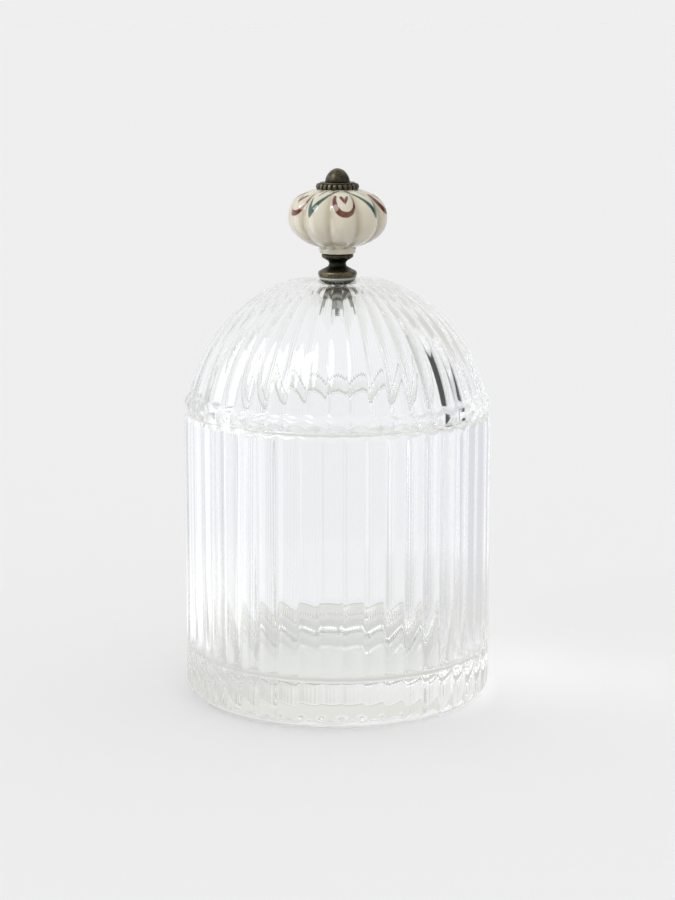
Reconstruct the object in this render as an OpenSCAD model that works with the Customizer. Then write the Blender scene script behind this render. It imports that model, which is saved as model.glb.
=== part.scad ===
// Reeded glass jar with a domed glass lid and a ceramic knob on a bronze neck.
// Millimetres, +Z up, origin at the centre of the base on the table, front towards -Y.

/* [Jar] */
// Outside diameter over the crests of the reeds
jar_d = 122; // [110:1:140]
// Height from the table to the rim
jar_h = 115; // [80:1:180]
// Wall thickness at the crest of a reed
jar_wall = 5.5; // [4.5:0.5:7]
// Thickness of the base, from the table to the floor inside
floor_t = 17; // [9:0.5:24]
// Rounding of the outside edge at the bottom
base_round = 7.5; // [5:0.5:9]
// Rounding of the outside edge at the rim
shoulder_round = 6; // [4:0.5:8]
// Rounding of the corner between the floor and the wall inside
floor_round = 6; // [3:0.5:10]
// Bevel of the inside edge at the mouth
mouth_bevel = 0.8; // [0.5:0.1:1.2]
// Depth of the hollow under the base
punt_depth = 2; // [1:0.5:4]
// Width of the ring that the jar stands on
foot_ring = 8; // [5:0.5:12]

/* [Reeds] */
// Number of reeds round the jar and round the lid
reed_count = 46; // [40:2:52]
// Radius of a reed's round face
reed_r = 5.8; // [5.4:0.1:6.6]
// Turn of the jar's reeds against the lid's at rest, in degrees
reed_offset = 1.5; // [0:0.5:7]

/* [Lid] */
// Height of the band at the lid's edge
band_h = 7.5; // [5:0.5:9]
// Height of the bevel that cuts the reeds into arches at the lid's edge
bevel_h = 3.3; // [2:0.1:4.5]
// Depth of the step from the band in to the dome
dome_step = 1; // [0.8:0.1:2.5]
// Depth of the dome's centre below the rim
dome_drop = 5.8; // [4:0.1:10]
// Diameter at which the dome's round ends and its low cone begins
top_d = 39.6; // [30:0.2:44]
// Rise of the low cone up to the flat under the neck
crown_h = 0.9; // [0.4:0.1:2]
// Thickness of the dome's wall at a crest
lid_wall = 7; // [5.5:0.5:8]
// Thickness of the glass under the neck
top_t = 5.5; // [4.5:0.5:7]
// Depth of the locating ring inside the mouth
locator_depth = 2.5; // [2:0.5:8]
// Gap between the locating ring and the jar's wall
locator_gap = 0.8; // [0.3:0.1:1.5]
// Diameter of the hole for the rod
lid_bore = 6; // [5:0.5:8]

/* [Neck] */
// Outside diameter of the clear washer under the neck
foot_washer_d = 14.4; // [12:0.2:18]
// Thickness of the clear washer under the neck
foot_washer_t = 0.6; // [0.4:0.1:1.5]
// Diameter of the neck's foot
spool_foot_d = 15.4; // [13:0.2:20]
// Diameter of the neck's waist
spool_waist_d = 6.7; // [6:0.1:9]
// Diameter of the neck's upper flange
spool_flange_d = 12.6; // [11:0.2:16]
// Height of the neck
spool_h = 9.4; // [8:0.1:14]

/* [Ceramic knob] */
// Largest diameter of the ceramic, over its lobes
knob_d = 39.4; // [30:0.2:50]
// Height of the ceramic's round part, before its top is cut flat
knob_h = 24; // [18:0.5:32]
// Height of the plain collar below it
collar_h = 1.7; // [1:0.1:4]
// Diameter of the plain collar
collar_d = 14.2; // [13:0.2:18]
// Diameter of the flat that the rosette sits on
land_d = 16; // [14:0.2:20]
// Number of lobes
lobe_count = 10; // [6:1:14]
// Depth of the grooves between the lobes
groove_depth = 2.1; // [0.5:0.1:2.4]
// Turn of the lobes from the front, in degrees
lobe_turn = 8; // [-18:1:18]

/* [Cap and rosette] */
// Outside diameter of the rosette over its beads
rosette_d = 17; // [15:0.2:22]
// Thickness of the rosette at its hub
rosette_t = 2.6; // [2.2:0.1:3.5]
// Number of beads round the rosette
bead_count = 24; // [20:1:32]
// Diameter of the cap's base
cap_d = 9.7; // [8.5:0.2:11.9]
// Height of the cap
cap_h = 5.4; // [5.2:0.1:9]

/* [Fasteners] */
// Thread diameter of the rod
rod_d = 4; // [3:0.5:5]
// Length of the rod that stands out below the nut
rod_tail = 3; // [1:0.5:8]
// Depth of the rod's hole in the cap
cap_thread = 4; // [3:0.1:4.2]
// Outside diameter of the rubber washer under the glass
gasket_d = 14; // [12:0.5:16]
// Thickness of the rubber washer
gasket_t = 1.5; // [1:0.1:3]
// Outside diameter of the flat steel washer
flat_washer_d = 12; // [9:0.5:14]
// Thickness of the flat steel washer
flat_washer_t = 1; // [0.6:0.1:1.6]
// Outside diameter of the split spring washer
spring_washer_d = 7.6; // [7:0.1:9]
// Thickness of the split spring washer
spring_washer_t = 1; // [0.8:0.1:1.5]
// Width of the slit in the spring washer
slit_w = 0.7; // [0.4:0.1:1]
// Width of the nut across its flats
nut_af = 7; // [7:0.5:10]
// Height of the nut
nut_h = 3.2; // [2.4:0.1:5]

/* [Hidden] */
eps = 0.01;              // overlap that lets cuts run past a face
fine = 96;               // facets of large round shapes in the preview
small = 48;              // facets of small round shapes in the preview
thread_gap = 0.05;       // radial room between the rod and a tapped hole
shank_gap = 0.2;         // radial room between the rod and a plain hole
overcut = 0.6;           // how far a rounding stands outside the crests, so that it cuts them cleanly
base_overcut = 0.3;      // the same for the rounding at the bottom

jar_r = jar_d / 2;
mouth_r = jar_r - jar_wall;
reed_pitch = 360 / reed_count;
reed_ring = jar_r - reed_r;                      // radius of the ring of reed centres
cusp_r = reed_ring * cos(reed_pitch / 2)
    + sqrt(pow(reed_r, 2) - pow(reed_ring * sin(reed_pitch / 2), 2));
foot_r = jar_r + base_overcut - base_round;          // outside radius of the ring that the jar stands on
punt_r = foot_r - foot_ring;
punt_sphere = (pow(punt_r, 2) + pow(punt_depth, 2)) / (2 * punt_depth);

dome_r = jar_r - dome_step;
dome_z = jar_h - dome_drop;
lid_top = dome_z + sqrt(pow(dome_r, 2) - pow(top_d / 2, 2)) + crown_h;
pad_edge = 0.6;                                  // how far the flat reaches past the neck's foot
pad_r = max(spool_foot_d, foot_washer_d) / 2 + pad_edge;
dome_in_r = dome_r - lid_wall;
under_top = lid_top - top_t;                     // the flat inside that the washers press on
seat_edge = 0.6;                                 // how far that flat reaches past the rubber washer at least
locator_r = mouth_r - locator_gap;
locator_in_r = sqrt(pow(dome_in_r, 2) - pow(dome_drop, 2));
dome_sink = 2.2;                                 // how far the dome's skin starts below the band's top
ledge_h = 3.4;                                   // height of the bevel from the band's crests in to the dome
band_top_r = sqrt(pow(dome_r, 2) - pow(dome_drop + band_h, 2)) * cusp_r / jar_r - 0.4;
ledge_slope = ledge_h / (jar_r - band_top_r);

spool_z = lid_top + foot_washer_t;
collar_z = spool_z + spool_h;
knob_r = knob_d / 2;
knob_mid = collar_z + collar_h + knob_h / 2;
square_low = 2.1;                                // above 2 the ceramic's outline is squarer than an ellipse
square_high = 2.45;                              // the same above its widest place
rosette_z = knob_mid + knob_h / 2 * pow(1 - pow(land_d / knob_d, square_high), 1 / square_high);
cap_z = rosette_z + rosette_t;
gasket_z = under_top - gasket_t;
flat_washer_z = gasket_z - flat_washer_t;
spring_washer_z = flat_washer_z - spring_washer_t;
nut_z = spring_washer_z - nut_h;
rod_z = nut_z - rod_tail;
rod_top = cap_z + cap_thread;
rod_r = rod_d / 2;

glass = [0.86, 0.92, 0.93, 0.45];
bronze = [0.33, 0.27, 0.19];
steel = [0.62, 0.62, 0.60];

// Plan of the reeded wall: round reeds side by side on a disc
module reed_plan(turn) {
    circle(r = reed_ring, $fn = fine);
    for (i = [0:reed_count - 1])
        rotate(turn + i * reed_pitch) translate([reed_ring, 0]) circle(r = reed_r, $fn = small);
}

// A hole along the axis, from one height to another
module bore(r, low, high) {
    translate([0, 0, low - eps]) cylinder(r = r, h = high - low + 2 * eps, $fn = small);
}

// A flat ring round the axis, with its hole
module ring(d, hole_r, t, z) {
    difference() {
        translate([0, 0, z]) cylinder(d = d, h = t, $fn = small);
        bore(hole_r, z, z + t);
    }
}

// Half section of the jar's outside: a block with round edges at the foot and at the rim
module jar_outline() {
    wide = jar_r + overcut;
    shoulder_z = jar_h - shoulder_round * 0.87;
    translate([0, base_round]) square([wide, shoulder_z - base_round]);
    square([foot_r, jar_h]);
    translate([foot_r, base_round]) circle(r = base_round, $fn = small);
    intersection() {
        translate([wide - shoulder_round, shoulder_z]) circle(r = shoulder_round, $fn = small);
        square([wide, jar_h]);
    }
}

// Half section of the space inside the jar, with a round corner at the floor
module jar_hollow() {
    tall = jar_h - floor_t + 1;
    translate([0, floor_t]) square([mouth_r - floor_round, tall]);
    translate([0, floor_t + floor_round]) square([mouth_r, tall - floor_round]);
    translate([mouth_r - floor_round, floor_t + floor_round]) circle(r = floor_round, $fn = small);
    polygon([
        [0, jar_h - mouth_bevel], [mouth_r, jar_h - mouth_bevel],
        [mouth_r + mouth_bevel + 1, jar_h + 1], [0, jar_h + 1]
    ]);
}

module jar_body() {
    color(glass)
    difference() {
        intersection() {
            linear_extrude(height = jar_h) reed_plan(reed_offset);
            rotate_extrude($fn = fine) jar_outline();
        }
        rotate_extrude($fn = fine) jar_hollow();
        rotate_extrude($fn = fine) intersection() {
            translate([0, punt_depth - punt_sphere]) circle(r = punt_sphere, $fn = 1440);
            translate([0, -1]) square([punt_r + 1, punt_depth + 2]);
        }
    }
}

// The dome's reeded skin: level rings of points, three to a reed, on a sphere and a low cone
reed_steps = 3;
dome_columns = reed_count * reed_steps;
dome_rings = 11;
flute_fade = 1;                                  // how soon the flutes grow shallow towards the top
dome_low = asin((dome_drop + band_h - dome_sink) / dome_r);
dome_high = acos(top_d / 2 / dome_r);
function dome_angle(j) = dome_low + (dome_high - dome_low) * j / (dome_rings - 1);
function dome_ring(j) = j == dome_rings ? [pad_r, lid_top]
    : [dome_r * cos(dome_angle(j)), dome_z + dome_r * sin(dome_angle(j))];
function fluted(i, r) = i % reed_steps == 0 ? 1 - (1 - cusp_r / jar_r) * pow(r / dome_r, flute_fade) : 1;
dome_points = [
    for (j = [0:dome_rings]) for (i = [0:dome_columns - 1])
        let (t = i * reed_pitch / reed_steps, r = dome_ring(j)[0] * fluted(i, dome_ring(j)[0]))
        [r * cos(t), r * sin(t), dome_ring(j)[1]]
];

// Faces of a closed stack of rings of points, each ring with this many columns
function stack_sides(rings, columns) = [
    for (j = [0:rings - 1]) for (i = [0:columns - 1])
        let (a = j * columns + i, b = j * columns + (i + 1) % columns)
        each [[a, b + columns, b], [a, a + columns, b + columns]]
];
function stack_ends(rings, columns) = [
    [for (i = [0:columns - 1]) i],
    [for (i = [columns - 1:-1:0]) rings * columns + i]
];

// Half section of the band: bevelled in below to a sharp seat, and in above to the dome
module band_outline() {
    seat_r = cusp_r - 0.1;
    slope = bevel_h / (jar_r - seat_r);
    polygon([
        [0, jar_h], [seat_r, jar_h],
        [jar_r + overcut, jar_h + slope * (jar_r + overcut - seat_r)],
        [jar_r + overcut, jar_h + band_h - ledge_h - overcut * ledge_slope],
        [band_top_r, jar_h + band_h], [0, jar_h + band_h]
    ]);
}

module lid_dome() {
    color(glass)
    difference() {
        union() {
            polyhedron(dome_points, concat(stack_sides(dome_rings, dome_columns),
                stack_ends(dome_rings, dome_columns)));
            intersection() {
                translate([0, 0, jar_h]) linear_extrude(height = band_h) reed_plan(reed_pitch / 2);
                rotate_extrude($fn = fine) band_outline();
            }
            translate([0, 0, jar_h - locator_depth])
                cylinder(r = locator_r, h = locator_depth + bevel_h, $fn = fine);
        }
        rotate_extrude($fn = fine) intersection() {
            union() {
                translate([0, dome_z]) circle(r = dome_in_r, $fn = fine * 2);
                translate([0, jar_h - locator_depth - 1]) square([locator_in_r, locator_depth + 1]);
                translate([0, jar_h]) square([gasket_d / 2 + seat_edge, under_top - jar_h]);
            }
            translate([0, jar_h - locator_depth - 1])
                square([jar_r, under_top - jar_h + locator_depth + 1]);
        }
        bore(lid_bore / 2, under_top, lid_top);
    }
}

module foot_washer() {
    color([0.9, 0.92, 0.9, 0.5])
    ring(foot_washer_d, rod_r + shank_gap, foot_washer_t, lid_top);
}

// Half section of the neck: a thick round foot, a bell up to the waist and a round flange
module spool_outline() {
    foot_t = 2.7;
    flange_t = 2;
    foot_r = spool_foot_d / 2;
    flange_r = spool_flange_d / 2;
    waist_r = spool_waist_d / 2;
    bend = 1.45;
    waist_z = foot_t + 0.55 * (spool_h - foot_t - flange_t);
    square([foot_r - foot_t / 2, foot_t]);
    square([foot_r - 0.35, foot_t / 2]);
    translate([foot_r - foot_t / 2, foot_t / 2]) circle(r = foot_t / 2, $fn = small);
    difference() {
        polygon([
            [0, 0], [foot_r - 1, foot_t - 0.05], [waist_r + 1, waist_z - 1.3],
            [waist_r + 0.8, waist_z + 1.2], [flange_r - 0.3, spool_h - flange_t + 0.2],
            [0, spool_h - flange_t + 0.2]
        ]);
        translate([waist_r + bend, waist_z]) circle(r = bend, $fn = small);
    }
    translate([0, spool_h - flange_t]) square([flange_r - flange_t / 2, flange_t]);
    translate([flange_r - flange_t / 2, spool_h - flange_t / 2]) circle(r = flange_t / 2, $fn = small);
}

module neck_spool() {
    color(bronze)
    difference() {
        translate([0, 0, spool_z]) rotate_extrude($fn = small) intersection() {
            spool_outline();
            square([spool_foot_d, spool_h]);
        }
        bore(rod_r + shank_gap, spool_z, spool_z + spool_h);
    }
}

// The ceramic's round part: rings of points on a squared oval, drawn in at the grooves
lobe_steps = 6;
knob_columns = lobe_count * lobe_steps;
knob_rings = 14;
groove_fade = 0.3;                               // how much the grooves grow shallow towards both ends
ring_low = -acos(pow(0.9 * collar_d / knob_d, square_low / 2));
ring_high = acos(pow(land_d / knob_d, square_high / 2));
function ring_angle(j) = ring_low + (ring_high - ring_low) * j / knob_rings;
function squareness(a) = a < 0 ? square_low : square_high;
function oval_r(a) = knob_r * pow(cos(a), 2 / squareness(a));
function oval_z(a) = knob_mid + sign(a) * knob_h / 2 * pow(abs(sin(a)), 2 / squareness(a));
function groove(i) = pow(abs(i % lobe_steps - lobe_steps / 2) / (lobe_steps / 2), 2);
function lobe_r(i, a) = oval_r(a) - groove_depth * pow(cos(a), groove_fade) * groove(i);
knob_points = [
    for (j = [0:knob_rings]) for (i = [0:knob_columns - 1])
        let (a = ring_angle(j), t = lobe_turn - 90 + 360 * (i - lobe_steps / 2) / knob_columns)
        [lobe_r(i, a) * cos(t), lobe_r(i, a) * sin(t), oval_z(a)]
];

module ceramic_knob() {
    color([0.90, 0.86, 0.78])
    difference() {
        union() {
            polyhedron(knob_points, concat(stack_sides(knob_rings, knob_columns),
                stack_ends(knob_rings, knob_columns)));
            translate([0, 0, collar_z]) cylinder(d = collar_d, h = collar_h + 1.5, $fn = small);
        }
        bore(rod_r + 2 * shank_gap, collar_z, rosette_z);
    }
}

// Half section of the rosette: a round edge that rounds the beads off, and a flat hub
module rosette_outline(hub_r) {
    edge = 1.45;
    intersection() {
        union() {
            translate([rosette_d / 2 - edge + 0.12, 0.8]) circle(r = edge, $fn = small);
            polygon([[0, 0], [hub_r, 0], [hub_r, 1.2], [hub_r - 0.8, rosette_t], [0, rosette_t]]);
        }
        square([rosette_d, rosette_t]);
    }
}

module rosette() {
    bead_r = 0.38 * PI * (rosette_d - 1.2) / bead_count;
    bead_ring = rosette_d / 2 - bead_r;
    hub_r = bead_ring - 0.25;
    color(bronze)
    difference() {
        translate([0, 0, rosette_z]) intersection() {
            linear_extrude(height = rosette_t) union() {
                circle(r = hub_r, $fn = fine);
                for (i = [0:bead_count - 1]) rotate((i + 0.5) * 360 / bead_count)
                    translate([bead_ring, 0]) circle(r = bead_r, $fn = small);
            }
            rotate_extrude($fn = small) rosette_outline(hub_r - 0.2);
        }
        bore(rod_r + shank_gap, rosette_z, rosette_z + rosette_t);
    }
}

module finial_cap() {
    steps = 12;
    rim_h = 0.3;
    rise = cap_h - rim_h;
    color(bronze)
    difference() {
        translate([0, 0, cap_z]) rotate_extrude($fn = small) polygon([
            [0, 0], [cap_d / 2, 0],
            for (k = [0:steps - 1]) let (h = k / steps)
                [cap_d / 2 * pow(1 - pow(h, 1.65), 0.5), rim_h + rise * h],
            [0, cap_h]
        ]);
        bore(rod_r + thread_gap, cap_z, rod_top);
    }
}

module threaded_rod() {
    color(steel)
    translate([0, 0, rod_z]) cylinder(r = rod_r, h = rod_top - rod_z, $fn = small);
}

module inner_gasket() {
    color([0.12, 0.12, 0.12])
    ring(gasket_d, rod_r + shank_gap, gasket_t, gasket_z);
}

module flat_washer() {
    color(steel)
    ring(flat_washer_d, rod_r + shank_gap, flat_washer_t, flat_washer_z);
}

module spring_washer() {
    color(steel)
    difference() {
        ring(spring_washer_d, rod_r + shank_gap, spring_washer_t, spring_washer_z);
        translate([0, -slit_w / 2, spring_washer_z - 1]) rotate([20, 0, 0])
            cube([spring_washer_d, slit_w, 3 * spring_washer_t + 2]);
    }
}

module hex_nut() {
    corner_r = nut_af / 2 / cos(30);
    bevel = corner_r - 0.48 * nut_af;
    color(steel)
    difference() {
        intersection() {
            translate([0, 0, nut_z]) cylinder(r = corner_r, h = nut_h, $fn = 6);
            translate([0, 0, nut_z]) rotate_extrude($fn = small) polygon([
                [0, 0], [corner_r - bevel, 0], [corner_r + bevel, bevel],
                [corner_r + bevel, nut_h - bevel], [corner_r - bevel, nut_h], [0, nut_h]
            ]);
        }
        bore(rod_r + thread_gap, nut_z, nut_z + nut_h);
    }
}

jar_body();
lid_dome();
foot_washer();
neck_spool();
ceramic_knob();
rosette();
finial_cap();
threaded_rod();
inner_gasket();
flat_washer();
spring_washer();
hex_nut();
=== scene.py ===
"""Looks of a reeded glass jar with a domed lid and a painted ceramic knob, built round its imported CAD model.

Every visible piece is worked out in numpy, in millimetres, as a grid of points round the axis."""
import math
from types import SimpleNamespace

import bpy
import numpy as np
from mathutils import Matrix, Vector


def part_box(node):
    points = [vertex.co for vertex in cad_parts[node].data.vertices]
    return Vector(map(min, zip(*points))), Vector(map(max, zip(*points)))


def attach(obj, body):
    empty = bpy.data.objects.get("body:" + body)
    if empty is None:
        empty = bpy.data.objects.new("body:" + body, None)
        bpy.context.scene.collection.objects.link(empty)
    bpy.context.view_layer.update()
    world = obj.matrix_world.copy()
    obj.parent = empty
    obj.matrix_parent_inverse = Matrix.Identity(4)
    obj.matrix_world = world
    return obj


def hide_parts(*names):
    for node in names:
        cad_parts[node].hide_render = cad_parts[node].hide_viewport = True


bl_info = {
    "name": "Reeded Glass Jar",
    "version": (1, 0, 0),
    "blender": (4, 5, 0),
    "location": "3D View > Sidebar > Jar",
    "description": "Builds the jar, its lid and its knob as finished surfaces",
    "category": "Add Mesh",
}

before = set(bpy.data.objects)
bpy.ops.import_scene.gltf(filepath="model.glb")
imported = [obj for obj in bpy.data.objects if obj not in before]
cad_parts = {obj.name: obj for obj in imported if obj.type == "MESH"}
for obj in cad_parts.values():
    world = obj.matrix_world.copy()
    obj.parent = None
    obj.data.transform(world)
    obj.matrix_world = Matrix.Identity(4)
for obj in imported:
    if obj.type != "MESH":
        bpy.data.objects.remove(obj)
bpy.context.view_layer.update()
MM = 0.001
TAU = 2 * math.pi
FRONT = -math.pi / 2
HAIR = 0.02  # Millimetres by which a piece's flat ends stay inside the CAD's
HOLE = 2.2  # Radius in millimetres of the hole through each bronze piece
UNPAINTED = 9.0  # Millimetres to the nearest brush stroke, where there is none near


def top_of(node):
    """Height of the top of a CAD node, in metres."""
    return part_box(node)[1].z


def foot_of(node):
    """Height of the bottom of a CAD node, in metres."""
    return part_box(node)[0].z


def half_width(node):
    """Half of a CAD node's width across, in metres."""
    low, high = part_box(node)
    return (high.x - low.x) / 2


def size(name, description, default):
    """A length in metres that a user can change."""
    return bpy.props.FloatProperty(
        name=name, description=description, default=default, min=0, precision=5, unit="LENGTH")


def turn_by(name, description, degrees):
    """An angle that a user can change."""
    return bpy.props.FloatProperty(
        name=name, description=description, default=math.radians(degrees), subtype="ANGLE")


def linear(hex_colour):
    """A colour written in sRGB hex, as linear red, green, blue and alpha."""
    parts = [int(hex_colour[i:i + 2], 16) / 255 for i in (1, 3, 5)]
    return [p / 12.92 if p <= 0.04045 else ((p + 0.055) / 1.055) ** 2.4 for p in parts] + [1.0]


def tint(name, description, hex_colour):
    """A colour that a user can change."""
    return bpy.props.FloatVectorProperty(
        name=name, description=description, default=linear(hex_colour), size=4, min=0, max=1,
        subtype="COLOR")


class GlassSizes(bpy.types.PropertyGroup):
    """Sizes that the jar and its lid share."""
    radius: size("Radius", "Radius of the jar over the crests of its reeds", half_width("jar_body"))
    height: size("Height", "Height of the jar's rim", top_of("jar_body"))
    reeds: bpy.props.IntProperty(name="Reeds", description="Number of reeds round", default=46, min=12)
    reed_radius: size("Reed radius", "Radius of a reed's round face", 0.0058)
    cusp_round: size("Cusp rounding", "How softly two reeds meet", 0.0008)
    lid_cusp: size("Lid cusp rounding", "How softly two flutes of the lid meet", 0.0004)
    jar_turn: turn_by("Jar turn", "Turn of the jar's reeds against the lid's", 1.5)
    wall: size("Wall", "Thickness of the jar's wall at a crest", 0.0055)
    floor: size("Floor", "Thickness of the jar's base", 0.017)
    foot_round: size("Foot rounding", "Rounding of the outside edge at the bottom", 0.0075)
    shoulder_round: size("Shoulder rounding", "Rounding of the outside edge at the rim", 0.006)
    floor_round: size("Floor rounding", "Rounding of the inside corner", 0.006)
    punt: size("Punt", "Depth of the hollow under the base", 0.002)
    foot_ring: size("Foot ring", "Width of the ring that the jar stands on", 0.008)
    band: size("Band", "Height of the lid's band", 0.0075)
    bevel: size("Band bevel", "Height of the bevel that cuts the reeds into arches", 0.0033)
    ledge: size("Ledge", "Height of the slope from the band in to the dome", 0.0034)
    dome_step: size("Dome step", "Step from the band in to the dome", 0.001)
    dome_drop: size("Dome drop", "Depth of the dome's centre below the rim", 0.0058)
    dome_wall: size("Dome wall", "Thickness of the dome at a crest", 0.007)
    dome_top: size("Dome top", "Height of the flat that the knob stands on", foot_of("foot_washer"))
    crown: size("Crown", "Rise of the low cone round that flat", 0.0009)
    crown_radius: size("Crown radius", "Radius at which the dome's round becomes the low cone", 0.0198)
    pad: size("Pad", "Radius of the flat that the knob stands on", 0.0076)
    under_top: size(
        "Under the top", "Height of the flat inside that the washers press on", top_of("inner_gasket"))
    bore: size("Bore", "Radius of the hole for the rod", 0.003)
    ring_depth: size("Locating ring", "Depth of the ring inside the mouth", 0.0025)
    ring_gap: size("Ring gap", "Gap between the locating ring and the jar's wall", 0.0008)
    ripple: size("Ripple", "Height of the slow waves that pressing leaves in glass", 0.00003)


class KnobSizes(bpy.types.PropertyGroup):
    """Sizes and colours of the ceramic knob."""
    radius: size("Radius", "Largest radius over the lobes", 0.0197)
    half_height: size("Half height", "Half the height of the round part before its top is cut", 0.012)
    middle: size("Middle", "Height of the widest place", foot_of("ceramic_knob") + 0.0137)
    land: size("Land", "Radius of the flat under the rosette", 0.008)
    collar: size("Collar", "Radius of the plain collar", 0.0072)
    lobes: bpy.props.IntProperty(name="Lobes", description="Number of lobes", default=10, min=4)
    groove: size("Groove", "Depth of the grooves between lobes", 0.0021)
    turn: turn_by("Turn", "Turn of the lobes from the front", 8)
    glaze: tint("Glaze", "Cream of the glaze", "#DAD3C0")
    pooled: tint("Pooled glaze", "Glaze where it lies thick in the grooves", "#B3A88F")
    petal: tint("Petal", "Brown red of the petals", "#5E1A04")
    leaf: tint("Leaf", "Green of the leaves", "#184F42")


class MetalSizes(bpy.types.PropertyGroup):
    """Sizes and colours of the neck, the rosette and the cap."""
    foot: size("Foot", "Radius of the neck's foot", half_width("neck_spool"))
    waist: size("Waist", "Radius of the neck's waist", 0.00335)
    flange: size("Flange", "Radius of the neck's upper flange", 0.0063)
    beads: bpy.props.IntProperty(
        name="Beads", description="Number of beads round the rosette", default=24, min=12)
    rosette: size("Rosette", "Radius over the beads", 0.0085)
    cap: size("Cap", "Radius of the acorn cap", half_width("finial_cap"))
    rod: size("Rod", "Radius of the rod over its thread", half_width("threaded_rod"))
    pitch: size("Thread pitch", "Rise of the thread in one turn", 0.0007)
    dark: tint("Dark patina", "Patina in the hollows", "#25241C")
    worn: tint("Worn bronze", "Bronze where hands and cloths have rubbed it", "#7C755C")


class StageLook(bpy.types.PropertyGroup):
    """The floor, the light round the jar and the camera."""
    backdrop: tint("Backdrop", "Colour of the backdrop and the floor", "#EFEFEF")
    lens: bpy.props.FloatProperty(name="Lens", description="Focal length in millimetres", default=90.8, min=1)
    distance: size("Camera distance", "Distance of the camera in front of the axis", 0.8906)
    height: size("Camera height", "Height of the camera above the table", 0.2678)
    pitch: turn_by("Camera pitch", "How far the camera looks down", 10.8)


def soft_min(a, b, soft):
    """The smaller of two values, rounded over where they meet: half of their sum less the root of their gap
    squared plus soft squared."""
    return 0.5 * (a + b - np.sqrt((a - b) ** 2 + soft ** 2))


def soft_max(a, b, soft):
    """The larger of two values, rounded over where they meet."""
    return -soft_min(-a, -b, soft)


def arc(centre, radius, start, end, steps):
    """Points (r, z) along an arc, from one angle to another in degrees, 0 being outwards and 90 upwards."""
    a = np.radians(np.linspace(start, end, steps))
    return np.column_stack([centre[0] + radius * np.cos(a), centre[1] + radius * np.sin(a)])


def line(start, end, steps):
    """Points (r, z) along a straight line."""
    return np.linspace(start, end, steps)


def polar(r, z, angles):
    """Points round the axis, in rows by columns: x = r cos a, y = r sin a, at height z."""
    return np.stack([r * np.cos(angles), r * np.sin(angles), z + 0 * angles], -1)


def ring_grid(profile, angles):
    """A profile of (r, z) carried round the axis."""
    return polar(profile[:, :1], profile[:, 1:], angles)


def surface(name, grid, closed=False):
    """A mesh from a grid of points in millimetres. Columns close round the axis, and rows either close on
    themselves or end in a point at each end, which is the middle of that end's ring."""
    rows, cols = grid.shape[:2]
    row = np.arange(rows if closed else rows - 1)[:, None] * cols
    above = (row + cols) % (rows * cols)
    here, beside = np.arange(cols)[None], (np.arange(cols)[None] + 1) % cols
    quads = np.stack([row + here, row + beside, above + beside, above + here], -1).reshape(-1, 4)
    points, faces = grid.reshape(-1, 3), quads.tolist()
    if not closed:
        points = np.vstack([points, grid[0].mean(0), grid[-1].mean(0)])
        low, high, last = rows * cols, rows * cols + 1, (rows - 1) * cols
        faces += np.column_stack([beside[0], here[0], np.full(cols, low)]).tolist()
        faces += np.column_stack([last + here[0], last + beside[0], np.full(cols, high)]).tolist()
    mesh = bpy.data.meshes.new(name)
    mesh.from_pydata((points * MM).tolist(), [], faces)
    mesh.polygons.foreach_set("use_smooth", np.ones(len(faces), bool))
    mesh.update()
    piece = bpy.data.objects.new(name, mesh)
    bpy.context.scene.collection.objects.link(piece)
    return piece


def painted(piece, name, values):
    """Writes one number for each point of a piece, for its material to read."""
    values = np.asarray(values, np.float32).ravel()
    values = np.pad(values, (0, len(piece.data.vertices) - len(values)), mode="edge")
    piece.data.attributes.new(name, "FLOAT", "POINT").data.foreach_set("value", values)


def dress(piece, material):
    """Makes a material the only one of a piece."""
    piece.data.materials.clear()
    piece.data.materials.append(material)


def finish_piece(piece, body, material, slot, *nodes):
    """Gives a piece its material and its body, and hides the CAD nodes that it stands for."""
    dress(piece, material)
    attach(piece, body)
    if nodes:
        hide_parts(*nodes)


def across_one(steps):
    """Places across one reed or lobe, from -1 to 1, closer together at its edges."""
    t = np.arange(steps) / steps * 2 - 1
    return 0.5 * t + 0.5 * np.sin(t * math.pi / 2)


def reed_angles(count, turn, steps=20):
    """Angles round the axis, closer together at the cusps between reeds."""
    return (turn + (np.arange(count)[:, None] + across_one(steps) / 2) * (TAU / count)).ravel()


def reed_outline(angles, count, turn, radius, reed, soft):
    """Radius of the reeded plan: the circles of the reeds stand side by side on a ring, so the radius is
    ring cos a + root(reed^2 - ring^2 sin^2 a), with the cusps softened."""
    half = math.pi / count
    to_cusp = half - np.abs((angles - turn + half) % (2 * half) - half)
    s = soft / radius
    to_cusp = np.sqrt(to_cusp ** 2 + s ** 2) - (math.hypot(half, s) - half) * to_cusp / half
    a = half - to_cusp
    ring = radius - reed
    return ring * np.cos(a) + np.sqrt(reed ** 2 - (ring * np.sin(a)) ** 2)


def ripple(grid, height, seed):
    """Slow waves in the pressed glass: a sum of eight sines over angle and height, moved along the radius."""
    rng = np.random.default_rng(seed)
    x, y, z = np.moveaxis(grid, -1, 0)
    a, r = np.arctan2(y, x), np.hypot(x, y)
    wave = 0
    for _ in range(8):
        wave = wave + np.sin(rng.integers(3, 26) * a + rng.uniform(0.01, 0.06) * z + rng.uniform(0, TAU))
    shift = height * wave / 2 * np.clip(r / 30, 0, 1)
    scale = 1 + shift / np.maximum(r, 1)
    return grid * np.stack([scale, scale, 0 * r + 1], -1)


def node(tree, kind, links=None, **settings):
    """Adds one shader node. A setting is the node's own or else the value of a socket, with _ for a space in
    its name, and links maps a socket to the output that feeds it."""
    made = tree.nodes.new(kind)
    for key, value in settings.items():
        if hasattr(made, key):
            setattr(made, key, value)
        else:
            made.inputs[key.replace("_", " ")].default_value = value
    for key, output in (links or {}).items():
        tree.links.new(output, made.inputs[key])
    return made


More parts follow.
